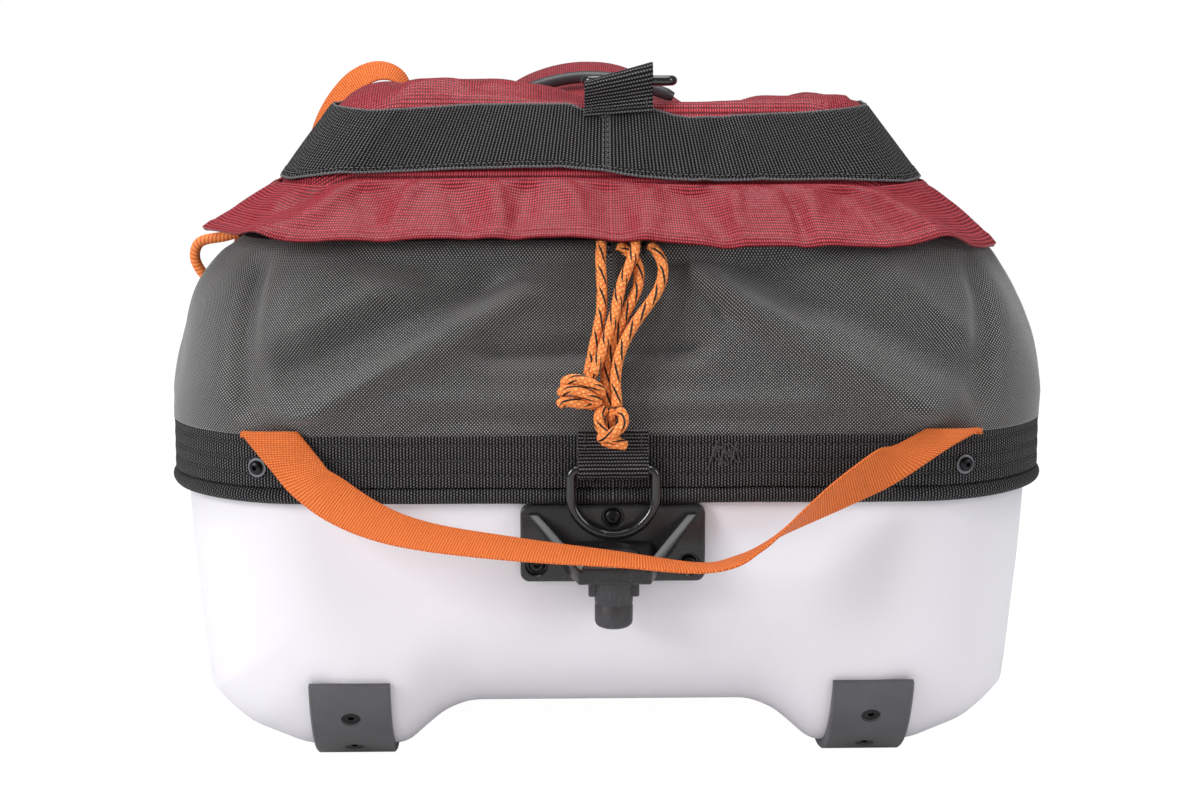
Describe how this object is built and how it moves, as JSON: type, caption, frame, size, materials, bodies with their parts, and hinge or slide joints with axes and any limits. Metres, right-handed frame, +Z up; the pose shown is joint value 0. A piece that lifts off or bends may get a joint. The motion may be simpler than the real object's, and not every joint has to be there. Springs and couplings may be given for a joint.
{
  "type": "pulk sled",
  "caption": "Covered freight pulk: moulded hull on two runners, fabric riser and zipped cover, rim webbing, rear coupling bracket, grab strap and swinging D-rings",
  "frame": {"origin": "on the ground under the middle of the bounding box", "axes": "+Y towards the bow, +Z up, +X to the right seen from behind the stern"},
  "size_m": [0.6118, 1.5258, 0.467],
  "materials": {
    "hull": "pale moulded polyethylene, glossy",
    "runner": "dark wear strip, satin",
    "steel": "zinc plated",
    "black_steel": "black, satin",
    "webbing": "ribbed woven webbing",
    "riser": "charcoal coated weave",
    "cover": "red ripstop, coated",
    "moulded": "black moulded nylon, fine texture",
    "plug": "dark grey, fine texture",
    "strap": "orange webbing, fine ribs",
    "cord": "braided cord with dark flecks"
  },
  "bodies": {
    "sled": {"backing_plate": "steel", "bracket_screw_1": "black_steel", "bracket_screw_2": "black_steel", "bracket_screw_3": "black_steel", "cover_flap": "cover", "cover_top": "cover", "cover_webbing": "webbing", "hull": "hull", "rear_bracket": "moulded", "rear_tab": "webbing", "rim_band": "webbing", "rim_binding": "webbing", "rim_bolt_1": "black_steel", "rim_bolt_2": "black_steel", "rim_nut_1": "steel", "rim_nut_2": "steel", "rim_washer_1": "steel", "rim_washer_2": "steel", "riser": "riser", "runner_left": "runner", "runner_nut_left_1": "steel", "runner_nut_left_2": "steel", "runner_nut_left_3": "steel", "runner_nut_right_1": "steel", "runner_nut_right_2": "steel", "runner_nut_right_3": "steel", "runner_right": "runner", "runner_screw_left_1": "steel", "runner_screw_left_2": "steel", "runner_screw_left_3": "steel", "runner_screw_right_1": "steel", "runner_screw_right_2": "steel", "runner_screw_right_3": "steel", "shoulder_strap_left": "strap", "side_loop_left": "strap", "side_loop_right": "strap", "strap_fold_left": "strap", "strap_fold_right": "strap", "top_handle": "moulded", "top_tab": "webbing", "tow_left_tab": "webbing", "tow_right_tab": "webbing", "zip_chain": "webbing"},
    "rear_ring": {"rear_d_ring": "moulded"},
    "top_ring": {"top_d_ring": "moulded"},
    "tow_ring_left": {"tow_left_d_ring": "moulded"},
    "tow_ring_right": {"tow_right_d_ring": "moulded"},
    "plug": {"coupling_plug": "plug"},
    "strap": {"grab_strap": "strap"},
    "closure_left": {"zip_slider_left": "black_steel", "pull_ring_left": "black_steel", "cord_left_outer": "cord", "cord_left_inner": "cord", "knot_left": "cord"},
    "closure_right": {"zip_slider_right": "black_steel", "pull_ring_right": "black_steel", "cord_right_inner": "cord", "cord_right_outer": "cord", "knot_right": "cord"}
  },
  "joints": [
    {"name": "rear_d_ring_swing", "type": "hinge", "parent": "sled", "child": "rear_ring", "pos_m": [0, -0.69833, 0.213], "axis": [-1, 0, 0], "range_deg": [0, 145]},
    {"name": "top_d_ring_swing", "type": "hinge", "parent": "sled", "child": "top_ring", "pos_m": [0.006, -0.61825, 0.45814], "axis": [1, 0, 0], "range_deg": [0, 200]},
    {"name": "tow_left_d_ring_swing", "type": "hinge", "parent": "sled", "child": "tow_ring_left", "pos_m": [-0.2998, 0.19747, 0.21357], "axis": [0, 1, 0], "range_deg": [0, 150]},
    {"name": "tow_right_d_ring_swing", "type": "hinge", "parent": "sled", "child": "tow_ring_right", "pos_m": [0.2998, 0.19747, 0.21357], "axis": [0, -1, 0], "range_deg": [0, 150]},
    {"name": "coupling_turn", "type": "hinge", "parent": "sled", "child": "plug", "pos_m": [0, -0.71003, 0.14], "axis": [0, 0, 1], "range_deg": [0, 90]},
    {"name": "grab_strap_swing", "type": "hinge", "parent": "sled", "child": "strap", "pos_m": [0, -0.69403, 0.238], "axis": [-1, 0, 0], "range_deg": [0, 80]},
    {"name": "zip_slider_left_slide", "type": "slide", "parent": "sled", "child": "closure_left", "axis": [-1, 0, 0], "range_m": [0, 0.09]},
    {"name": "zip_slider_right_slide", "type": "slide", "parent": "sled", "child": "closure_right", "axis": [1, 0, 0], "range_m": [0, 0.09]}
  ]
}
